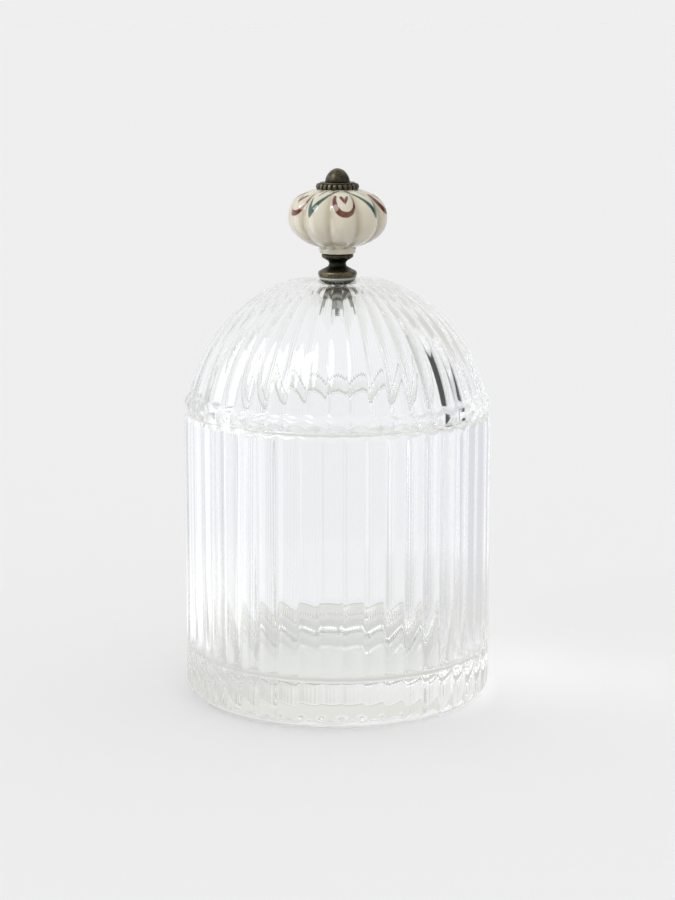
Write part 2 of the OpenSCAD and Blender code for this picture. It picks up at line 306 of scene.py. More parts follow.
def remap(tree, value, low, high, start=0.0, end=1.0):
    """A value whose range from low to high is carried over to start to end."""
    return node(tree, "ShaderNodeMapRange", {"Value": value}, From_Min=low, From_Max=high, To_Min=start,
                To_Max=end).outputs[0]


def feed(tree, made, values):
    """Feeds sockets of a node, each with a value or with the output of another node."""
    for key, value in values:
        if isinstance(value, bpy.types.NodeSocket):
            tree.links.new(value, made.inputs[key])
        else:
            made.inputs[key].default_value = value


def blend(tree, factor, first, second):
    """A mix of two colours, each of them a colour or the output of a node."""
    made = node(tree, "ShaderNodeMix", {"Factor": factor}, data_type="RGBA")
    feed(tree, made, (("A", first), ("B", second)))
    return made.outputs["Result"]


def math_node(tree, operation, *values):
    """One sum of the shader, from up to three numbers or outputs of nodes."""
    made = node(tree, "ShaderNodeMath", operation=operation)
    feed(tree, made, enumerate(values))
    return made.outputs[0]


def noise(tree, scale, detail, rough=0.5):
    """Cloudy noise on the piece's own coordinates, its scale in waves per metre."""
    place = node(tree, "ShaderNodeTexCoord").outputs["Object"]
    return node(tree, "ShaderNodeTexNoise", {"Vector": place}, Scale=scale, Detail=detail,
                Roughness=rough).outputs["Fac"]


def attribute(tree, name):
    """A number painted on the piece's points."""
    return node(tree, "ShaderNodeAttribute", attribute_name=name).outputs["Fac"]


def bearing(tree, way):
    """The bearing of a direction or place round the stage, and its height. The bearing is atan2(x, y) carried
    over to 0 to 1: 0.5 is straight behind the jar, 0.25 left, 0.75 right, and 0 and 1 in front."""
    split = node(tree, "ShaderNodeSeparateXYZ", {"Vector": way}).outputs
    return remap(tree, math_node(tree, "ARCTAN2", split["X"], split["Y"]), -math.pi, math.pi), split["Z"]


def bent_or_mirrored(tree, ray):
    """One where glass or metal is looking, by a ray that it has bent or mirrored, and else nought."""
    return math_node(tree, "MAXIMUM", ray["Is Glossy Ray"], ray["Is Transmission Ray"])


def new_material(name):
    """An empty material and its tree."""
    material = bpy.data.materials.new(name)
    material.use_nodes = True
    material.node_tree.nodes.clear()
    return material, material.node_tree


def show(tree, shader):
    """Makes a shader the surface of its material."""
    node(tree, "ShaderNodeOutputMaterial", {"Surface": shader.outputs[0]})


def ramp(tree, factor, stops):
    """A colour ramp from stops of (place, colour), each colour a grey, an sRGB hex or four numbers."""
    made = node(tree, "ShaderNodeValToRGB", {"Fac": factor})
    elements = made.color_ramp.elements
    while len(elements) < len(stops):
        elements.new(0.5)
    for element, (place, colour) in zip(elements, stops):
        element.position = place
        if isinstance(colour, str):
            colour = linear(colour)
        element.color = colour if hasattr(colour, "__len__") else (colour, colour, colour, 1)
    return made.outputs["Color"]


def pressed_glass(name, tone, ior):
    """Pressed soda-lime glass: colourless, fire-polished and fully clear, so that all of its look comes from
    what it bends and mirrors. Shadow rays pass it, as light does in a thin clear jar."""
    material, tree = new_material(name)
    glass = node(tree, "ShaderNodeBsdfPrincipled", Base_Color=linear(tone), Roughness=0.0, IOR=ior,
                 Transmission_Weight=1.0)
    clear = node(tree, "ShaderNodeBsdfTransparent", Color=linear("#FDFDFD"))
    ray = node(tree, "ShaderNodeLightPath").outputs
    show(tree, node(tree, "ShaderNodeMixShader", {0: ray["Is Shadow Ray"], 1: glass.outputs[0],
                                                  2: clear.outputs[0]}))
    return material


def antique_bronze(look):
    """Cast brass with an antique patina: near black in the hollows, rubbed to warm bronze on the high places.
    Its grain is fine casting grit of about 0.4 mm, drawn a little coarser so that it shows."""
    material, tree = new_material("antique bronze")
    patches = noise(tree, 420.0, 4.0, 0.6)
    rub = math_node(tree, "MULTIPLY_ADD", attribute(tree, "worn"), patches, -0.12)
    share = remap(tree, rub, 0.05, 0.55)
    bump = node(tree, "ShaderNodeBump", {"Height": noise(tree, 1700.0, 3.0)}, Strength=0.35, Distance=0.0001)
    show(tree, node(tree, "ShaderNodeBsdfPrincipled", {
        "Base Color": blend(tree, share, look.dark, look.worn),
        "Roughness": remap(tree, share, 0, 1, 0.42, 0.2),
        "Normal": bump.outputs[0]}, Metallic=0.85))
    return material


def zinc_plate(name, colour, rough):
    """Zinc-plated steel: pale grey metal, with faint milky blotches that soften its mirror."""
    material, tree = new_material(name)
    spread = remap(tree, noise(tree, 900.0, 3.0), 0, 1, rough - 0.08, rough + 0.12)
    show(tree, node(tree, "ShaderNodeBsdfPrincipled", {"Roughness": spread}, Base_Color=linear(colour),
                    Metallic=1.0))
    return material


def nitrile_rubber():
    """Black nitrile rubber: matt and very dark, with a dusty bloom."""
    material, tree = new_material("nitrile rubber")
    tone = ramp(tree, noise(tree, 700.0, 5.0), [(0.35, "#121212"), (0.8, "#2B2B2A")])
    show(tree, node(tree, "ShaderNodeBsdfPrincipled", {"Base Color": tone}, Roughness=0.75))
    return material


def clear_vinyl():
    """Soft clear vinyl washer: see-through but cloudy, with a greasy gloss."""
    material, tree = new_material("clear vinyl")
    rough = remap(tree, noise(tree, 800.0, 2.0), 0, 1, 0.1, 0.35)
    show(tree, node(tree, "ShaderNodeBsdfPrincipled", {"Roughness": rough}, Base_Color=linear("#E4E4DF"),
                    IOR=1.53, Transmission_Weight=0.3))
    return material


def painted_glaze(look):
    """Tin-white stoneware under a clear cream glaze: brush strokes sink softly into it, it pools darker in
    the grooves, and it shines like glass."""
    material, tree = new_material("painted glaze")
    cloud, fine = noise(tree, 110.0, 3.0), noise(tree, 900.0, 4.0)
    depth = math_node(tree, "MULTIPLY_ADD", cloud, 0.5, attribute(tree, "pool"))
    colour = blend(tree, remap(tree, depth, 0.2, 1.2), look.glaze, look.pooled)
    for name, paint in (("leaf", look.leaf), ("petal", look.petal)):
        frayed = math_node(tree, "MULTIPLY_ADD", fine, 0.35, attribute(tree, name))
        inside, thick = remap(tree, frayed, 0.35, -0.05), remap(tree, cloud, 0.3, 0.6, 0.8, 1.0)
        colour = blend(tree, math_node(tree, "MULTIPLY", inside, thick), colour, paint)
    bump = node(tree, "ShaderNodeBump", {"Height": cloud}, Strength=0.1, Distance=0.0004)
    show(tree, node(tree, "ShaderNodeBsdfPrincipled", {"Base Color": colour, "Normal": bump.outputs[0]},
                    Roughness=0.12, IOR=1.52, Coat_Weight=0.6, Coat_Roughness=0.03))
    return material


def in_mm(settings):
    """The sizes of a settings group in millimetres, by name."""
    values = {key: getattr(settings, key) for key in settings.__class__.__annotations__}
    return SimpleNamespace(**{key: v / MM if isinstance(v, float) else v for key, v in values.items()})


class JAR_OT_body(bpy.types.Operator):
    """Build the reeded glass jar"""
    bl_idname = "jar.body"
    bl_label = "Glass Jar"

    def execute(self, context):
        s = in_mm(context.scene.jar_glass)
        turn = context.scene.jar_glass.jar_turn
        angles = reed_angles(s.reeds, turn)
        plan = reed_outline(angles, s.reeds, turn, s.radius, s.reed_radius, s.cusp_round)
        # The round edges belong to a turned body a little wider than the crests, at the rim and at the foot,
        # which cuts the reeds softly where it is the narrower of the two.
        over_rim, over_foot, edge_soft = 0.6, 0.3, 0.3
        wide, foot, mouth = s.radius + over_rim, s.radius + over_foot - s.foot_round, s.radius - s.wall
        # The shoulder's arc runs up to the rim at 60.5 degrees, whose sine is 0.87.
        rim_angle, rim_sine = math.radians(60.5), 0.87
        seat = s.height - 0.03
        shoulder_z = s.height - rim_sine * s.shoulder_round
        reeds_only = 999.0
        outside = np.vstack([
            arc((foot, s.foot_round), s.foot_round, -90, -54, 6),
            arc((foot, s.foot_round), s.foot_round, -50, -4, 22),
            line((reeds_only, s.foot_round + 1), (reeds_only, shoulder_z - 1), 8),
            arc((wide - s.shoulder_round, shoulder_z), s.shoulder_round, 0, 56, 15),
        ])
        walls = outside[:, :1] + 0 * angles
        walls = np.where(walls == reeds_only, plan, soft_min(plan, walls, edge_soft))
        outer = ripple(polar(walls, outside[:, 1:], angles), s.ripple, 4)
        # The hollow under the base is a cap of a ball: ball = (r^2 + punt^2) / 2 punt.
        under_r = foot - s.foot_ring
        ball = (under_r ** 2 + s.punt ** 2) / (2 * s.punt)
        r = np.array([1.5, 9, 18, 27, 36, 42, under_r - 2])
        punt = np.column_stack([r, s.punt - ball + np.sqrt(ball ** 2 - r ** 2)])
        punt = np.vstack([punt, [[under_r, 0.06], [under_r + 0.5, 0.0], [foot - 1, 0.0]]])
        rim_r = wide - s.shoulder_round + s.shoulder_round * math.cos(rim_angle)
        lip, sag, flat_r = 0.8, 0.25, 49.5
        inside = np.vstack([
            [[rim_r - 0.2, seat - 0.07], [rim_r - 0.6, seat], [mouth + lip + 0.1, seat]],
            arc((mouth + lip, seat - lip), lip, 90, 180, 6),
            line((mouth, seat - 3), (mouth, s.floor + s.floor_round + 2), 8),
            arc((mouth - s.floor_round, s.floor + s.floor_round), s.floor_round, 0, -90, 16),
            [[r, s.floor - sag * (1 - (r / flat_r) ** 2)] for r in (47, 42, 35, 26, 17, 9, 2)],
        ])
        inner = ripple(ring_grid(inside, angles), s.ripple, 9)
        piece = surface("glass_jar", np.concatenate([ring_grid(punt, angles), outer, inner]))
        glass = pressed_glass("pressed glass, jar", "#FEFFFF", 1.51)
        finish_piece(piece, "jar", glass, "clear_glass", "jar_body")
        return {"FINISHED"}


class JAR_OT_lid(bpy.types.Operator):
    """Build the reeded glass lid with its band and locating ring"""
    bl_idname = "jar.lid"
    bl_label = "Glass Lid"

    def execute(self, context):
        s = in_mm(context.scene.jar_glass)
        angles = reed_angles(s.reeds, FRONT)
        plan = reed_outline(angles, s.reeds, FRONT, s.radius, s.reed_radius, s.lid_cusp)
        depth = s.radius - plan
        cusp_depth = 1.52
        cusp = s.radius - cusp_depth
        ball, centre = s.radius - s.dome_step, s.height - s.dome_drop
        band_top = s.height + s.band
        slope = s.bevel / (s.radius - cusp)

        def flute(share):
            """Depth of a flute as a share of the band's: it thins out with the cube of the radius."""
            return 0.1 + 0.9 * share ** 3

        # How softly the arches, the ledge, the dome's foot, its cone and its flat run into one another.
        arch_soft, ledge_soft, foot_soft, cone_soft, flat_soft = 0.25, 0.9, 0.7, 0.35, 0.06
        # The band: reeds cut by a bevel below and by a short ledge above, with the dome's foot behind it.
        z = np.concatenate([
            s.height + np.linspace(0, s.bevel + 0.4, 14), band_top - np.linspace(s.ledge, 0, 12),
            band_top + np.array([0.35, 0.9, 1.5])])[:, None]
        bevel = cusp - 0.1 + (z - s.height) / slope
        ledge = s.radius + 0.2 - (z - band_top + s.ledge) * 1.25
        band = soft_min(soft_min(plan, bevel, arch_soft), ledge, ledge_soft)
        skin = np.sqrt(ball ** 2 - (z - centre) ** 2)
        skin = skin - depth * flute(skin / ball)
        low = polar(soft_max(band, skin, foot_soft), z, angles)
        # The dome: a sphere that eases into a low cone and a flat, fluted along its own normal. The flutes
        # fade out just before the flat. Its rows go by angle, and near the top by radius.
        fade_over = 1.2
        start, steep = math.asin((z[-1, 0] + 0.8 - centre) / ball), math.radians(63)
        r = np.concatenate([ball * np.cos(np.linspace(start, steep, 26)),
                            s.pad + 0.3 + (25.3 - s.pad) * np.linspace(1, 0, 15) ** 1.4])
        cone = s.dome_top - s.crown * (r - s.pad) / (s.crown_radius - s.pad)
        sphere = centre + np.sqrt(ball ** 2 - r ** 2)
        high = soft_min(soft_min(sphere, cone, cone_soft), s.dome_top + 0 * r, flat_soft)
        rise = np.gradient(high, r)
        out_r, out_z = -rise / np.hypot(rise, 1), 1 / np.hypot(rise, 1)
        fade = np.clip((r - s.pad) / fade_over, 0, 1) ** 0.5
        dent = depth * (fade * flute(r / ball))[:, None]
        dome = polar(r[:, None] - dent * out_r[:, None], high[:, None] - dent * out_z[:, None], angles)
        inner_r = ball - s.dome_wall
        ring_r = s.radius - s.wall - s.ring_gap
        hem = s.height - s.ring_depth
        upper = math.degrees(math.asin((s.under_top - centre) / inner_r))
        lower = math.degrees(math.asin((hem + 0.7 - centre) / inner_r))
        bevelled, lip = 0.3, 0.6
        hollow = np.vstack([
            [[7, s.dome_top], [s.bore + bevelled, s.dome_top], [s.bore, s.dome_top - bevelled]],
            [[s.bore, s.under_top + bevelled], [s.bore + bevelled, s.under_top]],
            line((5, s.under_top), (inner_r * math.cos(math.radians(upper)) - 0.6, s.under_top), 3),
            arc((0, centre), inner_r, upper - 0.8, lower, 18),
        ])
        ring = np.vstack([
            arc((inner_r + lip, hem + lip), lip, 180, 270, 5),
            arc((ring_r - lip, hem + lip), lip, 270, 360, 5),
            [[ring_r, hem + 1.2], [ring_r, s.height - 0.35]],
            [[ring_r + 0.1, s.height - 0.1], [ring_r + 0.35, s.height], [cusp - 0.6, s.height]],
        ])
        inside = ripple(ring_grid(hollow, angles), s.ripple, 21)
        grid = np.concatenate([ring_grid(ring, angles), low, dome, inside])
        piece = surface("glass_lid", grid, closed=True)
        glass = pressed_glass("pressed glass, lid", "#FEFFFF", 1.51)
        finish_piece(piece, "lid", glass, "clear_glass", "lid_dome")
        return {"FINISHED"}


def stroke_distance(x, y, points):
    """Distance in millimetres from a brush stroke's edge, below nought inside it. The stroke is a chain of
    (x, y, half width), and the distance to each link is that to the nearest place on its line less its half
    width there."""
    best = np.full(x.shape, UNPAINTED)
    for (ax, ay, aw), (bx, by, bw) in zip(points[:-1], points[1:]):
        dx, dy = bx - ax, by - ay
        t = np.clip(((x - ax) * dx + (y - ay) * dy) / (dx * dx + dy * dy), 0, 1)
        best = np.minimum(best, np.hypot(x - ax - t * dx, y - ay - t * dy) - aw - t * (bw - aw))
    return best


def smooth_path(points, steps=8):
    """A brush stroke's chain made smooth with a cubic curve through its points."""
    p = np.array([points[0], *points, points[-1]], float)
    t = np.linspace(0, 1, steps, endpoint=False)[:, None]
    out = [0.5 * (2 * b + (c - a) * t + (2 * a - 5 * b + 4 * c - d) * t ** 2
                  + (3 * b - a - 3 * c + d) * t ** 3)
           for a, b, c, d in zip(p[:-3], p[1:-2], p[2:-1], p[3:])]
    return np.vstack(out + [p[-1]]).tolist()


class JAR_OT_knob(bpy.types.Operator):
    """Build the glazed ceramic knob with its painted flowers"""
    bl_idname = "jar.knob"
    bl_label = "Ceramic Knob"

    # Strokes in millimetres on a lobe laid flat: across it, up from its widest place, half the brush's width.
    PETALS = [
        [(-3.0, 11.2, 0.55), (-3.7, 8.4, 0.9), (-3.3, 5.4, 1.15), (-1.7, 3.2, 1.25), (0.8, 2.5, 1.15),
         (3.1, 3.4, 0.95), (4.3, 5.6, 0.6), (4.3, 8.4, 0.38), (3.3, 12.2, 0.18)],
        [(-0.9, 10.9, 0.55), (-0.4, 9.5, 0.75), (0.4, 7.0, 0.2)],
        [(1.6, 11.0, 0.5), (1.2, 9.6, 0.7), (0.5, 7.0, 0.2)],
    ]
    LEAVES = [
        [(5.0, 16.4, 0.4), (3.4, 12.6, 0.6), (1.9, 9.4, 0.75), (0.3, 6.6, 0.95), (-1.0, 4.2, 1.05),
         (-2.2, 1.6, 0.6)],
        [(-3.0, 9.4, 0.45), (-2.8, 6.8, 0.8), (-2.5, 4.4, 0.95), (-2.3, 1.8, 0.6)],
        [(0.6, 16.0, 0.2), (-0.2, 13.4, 0.4), (-1.0, 11.2, 0.2)],
    ]

    def execute(self, context):
        look = context.scene.jar_knob
        s = in_mm(look)
        per_lobe = 30
        angles = reed_angles(s.lobes, FRONT + look.turn, per_lobe)
        across = np.tile(across_one(per_lobe), s.lobes)
        # Squareness of the outline, 2 being an ellipse: plumper above the widest place than below it.
        below, above = 2.1, 2.45
        low = -math.acos(((s.collar + 0.35) / s.radius) ** (below / 2))
        high = math.acos((s.land / s.radius) ** (above / 2))
        a = np.linspace(low, high, 120)
        power = np.where(a < 0, below, above)
        oval_r = s.radius * np.cos(a) ** (2 / power)
        oval_z = s.middle + np.sign(a) * s.half_height * np.abs(np.sin(a)) ** (2 / power)
        # The groove's share at each place: nearly one between two lobes, nearly nought on a lobe's middle.
        to_groove, soft = 1 - np.abs(across), 0.08
        crease = 1 - (np.sqrt(to_groove ** 2 + soft ** 2) - soft * to_groove)
        dip = (s.groove * np.cos(a) ** 0.3)[:, None] * np.clip(crease, 0, 1) ** 2
        r = oval_r[:, None] - dip
        base, land_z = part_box("ceramic_knob")[0].z / MM, oval_z[-1] - HAIR
        hole_r, lip = 2.4, 0.4
        neck = ring_grid(np.vstack([
            [[hole_r, base + HAIR]], line((4.0, base + HAIR), (s.collar - 0.5, base + HAIR), 3),
            arc((s.collar - lip, base + HAIR + lip), lip, -75, 0, 5),
            [[s.collar, base + 0.9], [s.collar + 0.03, base + 1.4], [s.collar + 0.12, base + 1.75]],
        ]), angles)
        top = ring_grid(np.array([[s.land - 0.4, land_z], [5, land_z], [2.5, land_z]]), angles)
        piece = surface("painted_knob", np.concatenate([neck, polar(r, oval_z[:, None], angles), top]))
        # The flowers: up is the way along the outline from its widest place, side the way round from a lobe's
        # middle.
        run = np.concatenate([[0], np.cumsum(np.hypot(np.diff(oval_r), np.diff(oval_z)))])
        up = (run - np.interp(0, a, run))[:, None] + 0 * angles
        petal, leaf = np.full(up.shape, UNPAINTED), np.full(up.shape, UNPAINTED)
        rng = np.random.default_rng(7)
        for k in range(s.lobes):
            middle = angles[k * per_lobe] + math.pi / s.lobes
            side = oval_r[:, None] * ((angles - middle + math.pi) % TAU - math.pi)
            lean, lift = rng.uniform(-0.3, 0.3), rng.uniform(-0.4, 0.4)
            strokes, field = (self.PETALS, petal) if k % 2 == 0 else (self.LEAVES, leaf)
            flip = -1 if k in (1, 5) else 1
            for stroke in strokes:
                path = [(flip * x + lean + 0.04 * y * lean, y + lift, w) for x, y, w in smooth_path(stroke)]
                np.minimum(field, stroke_distance(side, up, path), out=field)
        pad = ((len(neck), len(top)), (0, 0))
        painted(piece, "petal", np.pad(petal, pad, constant_values=UNPAINTED))
        painted(piece, "leaf", np.pad(leaf, pad, constant_values=UNPAINTED))
        painted(piece, "pool", np.pad(np.clip(crease, 0, 1) ** 4 * np.cos(a)[:, None] ** 0.5, pad))
        finish_piece(piece, "lid", painted_glaze(look), "cream_glaze", "ceramic_knob")
        return {"FINISHED"}


class JAR_OT_metal(bpy.types.Operator):
    """Build the bronze neck, the beaded rosette and the acorn cap"""
    bl_idname = "jar.metal"
    bl_label = "Bronze Fittings"

    def execute(self, context):
        look = context.scene.jar_metal
        s = in_mm(look)
        bronze = antique_bronze(look)
        angles = np.linspace(0, TAU, 96, endpoint=False)
        base, top = foot_of("neck_spool") / MM, top_of("neck_spool") / MM
        foot, flange, bend = 2.7, 2.0, 1.45
        waist_z = base + foot + 0.55 * (top - base - foot - flange)
        neck = np.vstack([
            [[HOLE, base + HAIR]],
            line((3, base + HAIR), (s.foot - 0.7, base + HAIR), 4),
            [[s.foot - 0.45, base + 0.08], [s.foot - 0.36, base + 0.22]],
            arc((s.foot - foot / 2, base + foot / 2), foot / 2, -38, 74, 18),
            arc((s.waist + bend, waist_z), bend, 246, 122, 16),
            arc((s.flange - flange / 2, top - flange / 2), flange / 2 - 0.01, -66, 84, 14),
            [[s.flange - 1.3, top - HAIR], [3, top - HAIR], [HOLE, top - HAIR]],
        ])
        piece = surface("bronze_neck", ring_grid(neck, angles))
        rub = np.interp(neck[:, 0], [s.waist, s.waist + 1.6, s.foot - 0.9, s.foot], [0.1, 0.2, 0.75, 1.0])
        painted(piece, "worn", rub[:, None] + 0 * angles)
        finish_piece(piece, "lid", bronze, "antique_bronze", "neck_spool")

        # The rosette: a round-edged plate whose edge swells into beads. Round a bead the edge is pushed in by
        # the push times 1 - root(1 - across^2 - along^4).
        base, top = foot_of("rosette") / MM, top_of("rosette") / MM
        per_bead = 16
        round_r, round_z, push = 1.5, 0.85, 0.75
        turns = (np.arange(s.beads * per_bead) + 0.5) / (s.beads * per_bead) * TAU
        across = (np.arange(s.beads * per_bead) % per_bead + 0.5) / per_bead * 2 - 1
        a = np.linspace(-32, 80, 30)
        along = (a - 18) / 62
        swell = np.sqrt(np.clip(1 - (across / 0.94) ** 2 - along[:, None] ** 4, 0, 1))
        radius = round_r - push * (1 - swell) * np.clip((a[:, None] + 40) / 30, 0, 1)
        rise, out = np.sin(np.radians(a))[:, None], np.cos(np.radians(a))[:, None]
        edge = polar(s.rosette - round_r + radius * out, base + round_z + radius * rise, turns)
        low = np.array([[HOLE, base + HAIR], [4, base + HAIR], [s.rosette - 0.7, base + HAIR]])
        high = np.array([
            [s.rosette - 1.55, top - 0.38], [s.rosette - 1.66, top - 0.14], [s.rosette - 1.82, top - HAIR],
            [s.cap + 0.5, top - HAIR], [3, top - HAIR], [HOLE, top - HAIR]])
        grid = np.concatenate([ring_grid(low, turns), edge, ring_grid(high, turns)])
        piece = surface("beaded_rosette", grid)
        worn = np.concatenate([0.2 + 0 * low[:, :1] + 0 * turns, 0.05 + 0.95 * swell ** 2,
                               np.array([0.3, 0.7, 0.8, 0.4, 0.2, 0.2])[:, None] + 0 * turns])
        painted(piece, "worn", worn)
        finish_piece(piece, "lid", bronze, "antique_bronze", "rosette")

        # The cap: rows by height, whose radius falls as the root of one less height to the power 1.65.
        base, top = foot_of("finial_cap") / MM, top_of("finial_cap") / MM
        h = np.sin(np.linspace(0.02, math.pi / 2 - 0.03, 30))
        cap = np.vstack([
            [[HOLE, base + HAIR], [3, base + HAIR], [s.cap - 0.12, base + HAIR], [s.cap - 0.01, base + 0.12]],
            np.column_stack([(s.cap - 0.01) * np.sqrt(1 - h ** 1.65), base + 0.28 + (top - base - 0.3) * h]),
        ])
        piece = surface("acorn_cap", ring_grid(cap, angles))
        rub = np.interp(cap[:, 1], [base, base + 0.4, base + 2.5, top], [0.15, 0.45, 0.6, 0.9])
        painted(piece, "worn", rub[:, None] + 0 * angles)
        finish_piece(piece, "lid", bronze, "antique_bronze", "finial_cap")
        return {"FINISHED"}


class JAR_OT_fasteners(bpy.types.Operator):
    """Build the threaded rod, its nut and its washers"""
    bl_idname = "jar.fasteners"
    bl_label = "Fasteners"

    def execute(self, context):
        s = in_mm(context.scene.jar_metal)
        zinc = zinc_plate("zinc plate", "#B9B9B4", 0.28)
        low, high = foot_of("threaded_rod") / MM, top_of("threaded_rod") / MM
        # The rod's thread, 0.61 of its pitch deep: the radius falls from crest to root as a triangle wave of
        # the height in pitches less the turn. Five rows make one pitch, and the ends taper.
        chamfer, thread = 0.35, s.pitch * 0.61
        angles = np.linspace(0, TAU, 24, endpoint=False)
        z = np.linspace(low + chamfer, high - chamfer, round((high - low) / s.pitch * 5))[:, None]
        phase = (z / s.pitch - angles / TAU) % 1
        taper = np.clip(np.minimum(z - low, high - z) / (2 * chamfer), 0, 1)
        r = s.rod - HAIR - thread * np.abs(2 * phase - 1) * taper - chamfer * (1 - taper)
        ends = [ring_grid(np.array([[s.rod - 0.5, v]]), angles) for v in (low, high)]
        piece = surface("screw_rod", np.concatenate([ends[0], polar(r, z, angles), ends[1]]))
        finish_piece(piece, "lid", zinc, "zinc_steel", "threaded_rod")
        # The nut: a hexagon whose corners are turned down by a cone at 30 degrees above and below.
        half_flats, cone_r, hole_r, mouth_r = 3.5, 3.42, 2.06, 2.5
        base, top = foot_of("hex_nut") / MM, top_of("hex_nut") / MM
        angles = np.linspace(0, TAU, 72, endpoint=False)
        flat = half_flats / np.cos((angles + math.pi / 6) % (math.pi / 3) - math.pi / 6)
        z = np.concatenate([base + np.linspace(0, 0.5, 6), top - np.linspace(0.5, 0, 6)])[:, None]
        cone = cone_r + np.minimum(z - base, top - z) / math.tan(math.radians(30))
        hole = np.array([[mouth_r, top], [hole_r, top - 0.4], [hole_r, base + 0.4], [mouth_r, base]])
        piece = surface("nut", np.concatenate([
            polar(soft_min(flat, cone, 0.05), z, angles), ring_grid(hole, angles)]), closed=True)
        finish_piece(piece, "lid", zinc, "zinc_steel", "hex_nut")
        # The washers keep the CAD's own meshes.
        spring = zinc_plate("spring steel", "#6E6E6A", 0.4)
        rubber, vinyl = nitrile_rubber(), clear_vinyl()
        for name, made in (("flat_washer", zinc), ("spring_washer", spring), ("inner_gasket", rubber),
                           ("foot_washer", vinyl)):
            dress(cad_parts[name], made)
        return {"FINISHED"}


def lamp(name, kind, power, place, aim, **settings):
    """A lamp that looks from one place to another, in metres."""
    data = bpy.data.lights.new(name, kind)
    data.energy = power
    for key, value in settings.items():
        setattr(data, key, value)
    made = bpy.data.objects.new(name, data)
    made.location = place
    direction = np.array(aim, float) - np.array(place, float)
    flat = math.hypot(direction[0], direction[1])
    made.rotation_euler = (math.pi / 2 + math.atan2(direction[2], flat), 0,
                           math.atan2(direction[1], direction[0]) - math.pi / 2)
    bpy.context.scene.collection.objects.link(made)
    return made


